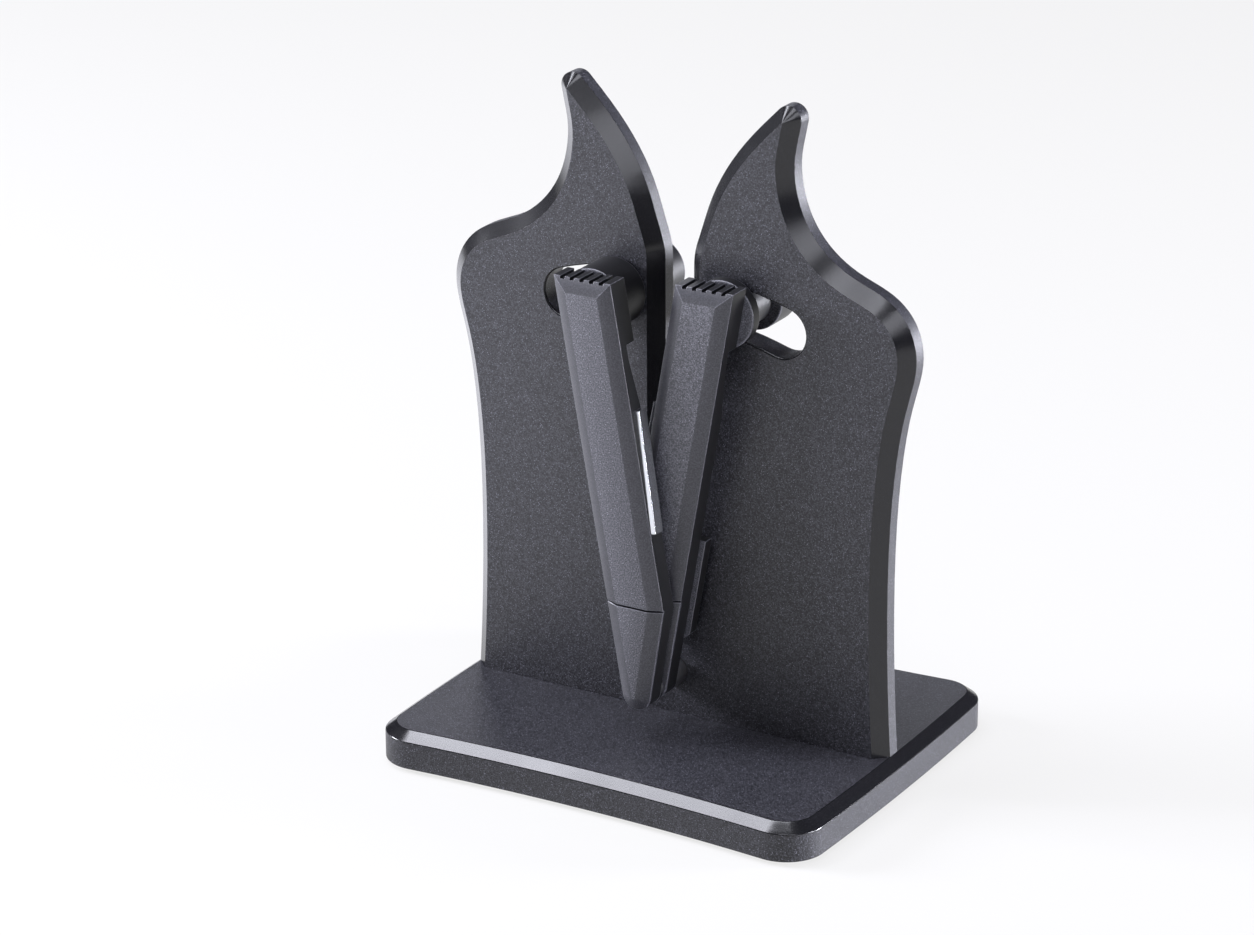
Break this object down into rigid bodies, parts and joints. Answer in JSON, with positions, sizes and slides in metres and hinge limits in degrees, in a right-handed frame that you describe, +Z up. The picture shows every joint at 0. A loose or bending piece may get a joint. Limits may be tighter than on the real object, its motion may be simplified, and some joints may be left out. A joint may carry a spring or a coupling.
{
  "type": "pull through knife sharpener",
  "caption": "Free-standing pull through knife sharpener: a weighted bevelled base, an upright plate with horned wings and a blade gap, and sprung crossing arms that carry the sharpening bars.",
  "frame": {"origin": "on the table under the middle of the base, on the feet plane", "axes": "+X to the right seen from the front, -Y to the front, +Z up"},
  "size_m": [0.1386, 0.108, 0.1847],
  "materials": {
    "grained_plastic": "anthracite plastic with a fine sparkling grain",
    "arm_plastic": "anthracite plastic, satin, with smooth bevels",
    "inner_plastic": "plain black plastic, seen from below or hidden",
    "hard_steel": "polished hardened steel",
    "bright_steel": "zinc plated steel",
    "spring_steel": "blued spring strip",
    "black_steel": "black oxide screws",
    "ballast": "raw cut steel",
    "foot_rubber": "soft black rubber"
  },
  "bodies": {
    "frame": {"base_shell": "grained_plastic", "base_cover": "inner_plastic", "ballast_plate": "ballast", "foot_front_left": "foot_rubber", "foot_front_right": "foot_rubber", "foot_rear_left": "foot_rubber", "foot_rear_right": "foot_rubber", "base_cover_screws": "black_steel", "frame_mount_screws": "bright_steel", "frame_front_cover": "grained_plastic", "frame_rear_shell": "grained_plastic", "frame_joint_screws": "black_steel", "pivot_pin": "bright_steel", "pivot_clip": "spring_steel", "left_return_spring": "spring_steel", "right_return_spring": "spring_steel"},
    "left_arm": {"left_arm_bar": "arm_plastic", "left_tip_cover": "arm_plastic", "left_sharpening_bar": "hard_steel", "left_guide_post": "arm_plastic", "left_guide_cap": "arm_plastic", "left_cap_screw": "black_steel", "left_pivot_hub": "bright_steel", "left_spring_collar": "bright_steel"},
    "right_arm": {"right_arm_bar": "arm_plastic", "right_tip_cover": "arm_plastic", "right_hinge_plate": "arm_plastic", "right_hinge_screws": "black_steel", "right_sharpening_bar": "hard_steel", "right_guide_post": "arm_plastic", "right_guide_cap": "arm_plastic", "right_cap_screw": "black_steel", "right_pivot_hub": "bright_steel"}
  },
  "joints": [
    {"name": "left_arm_swing", "type": "hinge", "parent": "frame", "child": "left_arm", "pos_m": [0, 0, 0.024], "axis": [0, -1, 0], "range_deg": [0, 8.5], "stiffness_Nm_per_rad": 0.19, "springref_deg": -114.59, "deforming": ["left_return_spring"]},
    {"name": "right_arm_swing", "type": "hinge", "parent": "frame", "child": "right_arm", "pos_m": [0, 0, 0.024], "axis": [0, 1, 0], "range_deg": [0, 8.5], "stiffness_Nm_per_rad": 0.19, "springref_deg": -114.59, "deforming": ["right_return_spring"]}
  ]
}
